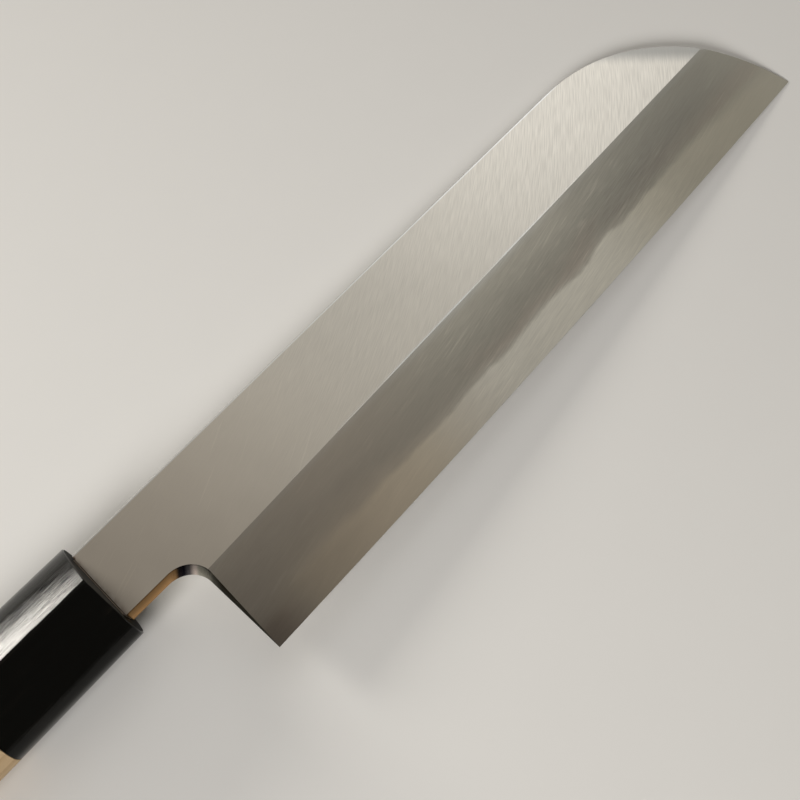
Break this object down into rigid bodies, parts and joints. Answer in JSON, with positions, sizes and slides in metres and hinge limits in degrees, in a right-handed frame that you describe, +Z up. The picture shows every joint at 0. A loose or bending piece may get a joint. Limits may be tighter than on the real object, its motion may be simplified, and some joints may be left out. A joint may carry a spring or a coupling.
{
  "type": "usuba knife",
  "caption": "Single-bevel vegetable knife with a sickle-shaped tip: laminated iron and steel blade, black horn ferrule and ridged pale wooden handle, for thin straight slicing.",
  "frame": {"origin": "bottom centre of the knife's box, on the table that it lies on", "axes": "+X to the tip, +Y to the spine, +Z up; the knife lies on its hollow back as it is set down, touching the table with its tip and the lower front of the ferrule, so the blade's plane slopes down to the tip by about 2.3 degrees"},
  "size_m": [0.3208, 0.0538, 0.0259],
  "materials": {
    "soft_iron": "satin ground on the flat, hazy stone finish on the bevel",
    "hard_steel": "finely polished on stone",
    "resin": "dull brown resin",
    "horn": "sanded black horn with fine lengthwise streaks",
    "pale_wood": "bare, finely sanded"
  },
  "bodies": {
    "root": {"blade_iron": "soft_iron", "blade_steel": "hard_steel", "tang_seal": "resin", "ferrule": "horn", "handle": "pale_wood"}
  },
  "joints": []
}
